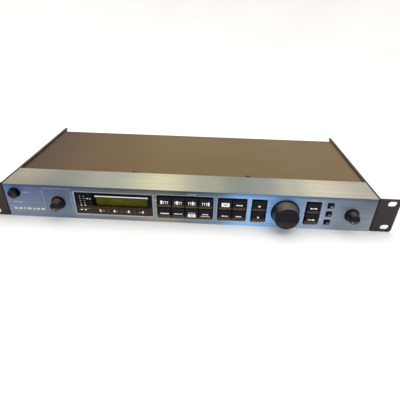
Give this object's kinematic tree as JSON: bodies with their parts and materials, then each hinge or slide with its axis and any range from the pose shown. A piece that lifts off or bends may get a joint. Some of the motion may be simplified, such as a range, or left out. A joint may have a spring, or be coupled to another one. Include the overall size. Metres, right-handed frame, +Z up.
{
  "type": "rack effects unit",
  "caption": "One-space rack effects unit: flat steel case with slotted ears, aluminium front, LCD, keys, level knobs, data dial and rear sockets.",
  "frame": {"origin": "middle of the four rack slots, in the plane where the ears meet the rack rails", "axes": "+X to the right as seen from the front, +Y from front to back, +Z up"},
  "size_m": [0.4826, 0.2105, 0.044],
  "materials": {
    "brushed_aluminium": "brushed along the width, anodised",
    "black_steel": "fine satin paint",
    "brown_cover_paint": "satin brown-grey paint",
    "plated_steel": "zinc plated",
    "rear_paint": "fine satin paint",
    "smoked_window": "glossy smoked acrylic",
    "lcd_glass": "olive green LCD",
    "lamp_lens": "clear lamp",
    "green_board": "green solder mask",
    "tan_board": "tan board",
    "black_plastic": "moulded",
    "control_body": "pressed metal",
    "nickel": "bright nickel",
    "chip_plastic": "moulded package",
    "core_steel": "varnished laminations",
    "capacitor_sleeve": "shrink sleeve",
    "plain_aluminium": "as drawn",
    "brass_standoff": "turned",
    "ribbon_plastic": "ribbed flat cable",
    "wire_plastic": "insulated wire",
    "black_screw": "black oxide",
    "key_plastic": "satin moulded, white legends",
    "knob_plastic": "soft satin"
  },
  "bodies": {
    "chassis": {"front_panel": "brushed_aluminium", "left_side_plate": "black_steel", "right_side_plate": "black_steel", "bottom_plate": "plated_steel", "top_cover": "brown_cover_paint", "rear_panel": "rear_paint", "front_rail": "plated_steel", "display_window": "smoked_window", "lcd_cell": "lcd_glass", "lcd_frame": "plated_steel", "led_array": "lamp_lens", "front_board": "green_board", "tact_switches": "black_plastic", "key_frame": "black_plastic", "power_switch": "black_plastic", "level_pots": "control_body", "dial_encoder": "control_body", "bush_nuts": "nickel", "main_board": "green_board", "board_chips": "chip_plastic", "power_board": "tan_board", "transformer": "core_steel", "capacitors": "capacitor_sleeve", "heat_sink": "plain_aluminium", "board_standoffs": "brass_standoff", "ribbon_cable": "ribbon_plastic", "mains_wires": "wire_plastic", "mains_inlet": "black_plastic", "inlet_pins": "nickel", "midi_sockets": "black_plastic", "rca_sockets": "nickel", "jack_sockets": "black_plastic", "socket_nuts": "nickel", "m3_screws": "black_screw"},
    "power_button": {"power_button": "key_plastic"},
    "input_control": {"input_knob": "knob_plastic", "input_shaft": "plain_aluminium"},
    "output_control": {"output_knob": "knob_plastic", "output_shaft": "plain_aluminium"},
    "dial_control": {"data_dial": "knob_plastic", "dial_shaft": "plain_aluminium"},
    "select_key_1": {"select_key_1": "key_plastic"},
    "select_key_2": {"select_key_2": "key_plastic"},
    "select_key_3": {"select_key_3": "key_plastic"},
    "select_key_4": {"select_key_4": "key_plastic"},
    "function_key_1": {"function_key_1": "key_plastic"},
    "function_key_2": {"function_key_2": "key_plastic"},
    "function_key_3": {"function_key_3": "key_plastic"},
    "function_key_4": {"function_key_4": "key_plastic"},
    "menu_key_1": {"menu_key_1": "key_plastic"},
    "menu_key_2": {"menu_key_2": "key_plastic"},
    "menu_key_3": {"menu_key_3": "key_plastic"},
    "menu_key_4": {"menu_key_4": "key_plastic"},
    "up_key": {"up_key": "key_plastic"},
    "down_key": {"down_key": "key_plastic"},
    "enter_key": {"enter_key": "key_plastic"},
    "exit_key": {"exit_key": "key_plastic"},
    "small_button_1": {"small_button_1": "key_plastic"},
    "small_button_2": {"small_button_2": "key_plastic"},
    "small_button_3": {"small_button_3": "key_plastic"}
  },
  "joints": [
    {"name": "power_press", "type": "slide", "parent": "chassis", "child": "power_button", "axis": [0, 1, 0], "range_m": [0, 0.003], "stiffness_N_per_m": 500},
    {"name": "input_turn", "type": "hinge", "parent": "chassis", "child": "input_control", "pos_m": [-0.1533, 0, -0.0005], "axis": [0, 1, 0], "range_deg": [0, 300]},
    {"name": "output_turn", "type": "hinge", "parent": "chassis", "child": "output_control", "pos_m": [0.1902, 0, -0.0005], "axis": [0, 1, 0], "range_deg": [0, 300]},
    {"name": "dial_turn", "type": "hinge", "parent": "chassis", "child": "dial_control", "pos_m": [0.1134, 0, -0.0005], "axis": [0, 1, 0], "continuous": true},
    {"name": "select_key_1_press", "type": "slide", "parent": "chassis", "child": "select_key_1", "axis": [0, 1, 0], "range_m": [0, 0.0006], "stiffness_N_per_m": 1000},
    {"name": "select_key_2_press", "type": "slide", "parent": "chassis", "child": "select_key_2", "axis": [0, 1, 0], "range_m": [0, 0.0006], "stiffness_N_per_m": 1000},
    {"name": "select_key_3_press", "type": "slide", "parent": "chassis", "child": "select_key_3", "axis": [0, 1, 0], "range_m": [0, 0.0006], "stiffness_N_per_m": 1000},
    {"name": "select_key_4_press", "type": "slide", "parent": "chassis", "child": "select_key_4", "axis": [0, 1, 0], "range_m": [0, 0.0006], "stiffness_N_per_m": 1000},
    {"name": "function_key_1_press", "type": "slide", "parent": "chassis", "child": "function_key_1", "axis": [0, 1, 0], "range_m": [0, 0.0006], "stiffness_N_per_m": 1000},
    {"name": "function_key_2_press", "type": "slide", "parent": "chassis", "child": "function_key_2", "axis": [0, 1, 0], "range_m": [0, 0.0006], "stiffness_N_per_m": 1000},
    {"name": "function_key_3_press", "type": "slide", "parent": "chassis", "child": "function_key_3", "axis": [0, 1, 0], "range_m": [0, 0.0006], "stiffness_N_per_m": 1000},
    {"name": "function_key_4_press", "type": "slide", "parent": "chassis", "child": "function_key_4", "axis": [0, 1, 0], "range_m": [0, 0.0006], "stiffness_N_per_m": 1000},
    {"name": "menu_key_1_press", "type": "slide", "parent": "chassis", "child": "menu_key_1", "axis": [0, 1, 0], "range_m": [0, 0.0006], "stiffness_N_per_m": 1000},
    {"name": "menu_key_2_press", "type": "slide", "parent": "chassis", "child": "menu_key_2", "axis": [0, 1, 0], "range_m": [0, 0.0006], "stiffness_N_per_m": 1000},
    {"name": "menu_key_3_press", "type": "slide", "parent": "chassis", "child": "menu_key_3", "axis": [0, 1, 0], "range_m": [0, 0.0006], "stiffness_N_per_m": 1000},
    {"name": "menu_key_4_press", "type": "slide", "parent": "chassis", "child": "menu_key_4", "axis": [0, 1, 0], "range_m": [0, 0.0006], "stiffness_N_per_m": 1000},
    {"name": "up_key_press", "type": "slide", "parent": "chassis", "child": "up_key", "axis": [0, 1, 0], "range_m": [0, 0.0006], "stiffness_N_per_m": 1000},
    {"name": "down_key_press", "type": "slide", "parent": "chassis", "child": "down_key", "axis": [0, 1, 0], "range_m": [0, 0.0006], "stiffness_N_per_m": 1000},
    {"name": "enter_key_press", "type": "slide", "parent": "chassis", "child": "enter_key", "axis": [0, 1, 0], "range_m": [0, 0.0006], "stiffness_N_per_m": 1000},
    {"name": "exit_key_press", "type": "slide", "parent": "chassis", "child": "exit_key", "axis": [0, 1, 0], "range_m": [0, 0.0006], "stiffness_N_per_m": 1000},
    {"name": "small_button_1_press", "type": "slide", "parent": "chassis", "child": "small_button_1", "axis": [0, 1, 0], "range_m": [0, 0.0006], "stiffness_N_per_m": 1000},
    {"name": "small_button_2_press", "type": "slide", "parent": "chassis", "child": "small_button_2", "axis": [0, 1, 0], "range_m": [0, 0.0006], "stiffness_N_per_m": 1000},
    {"name": "small_button_3_press", "type": "slide", "parent": "chassis", "child": "small_button_3", "axis": [0, 1, 0], "range_m": [0, 0.0006], "stiffness_N_per_m": 1000}
  ]
}
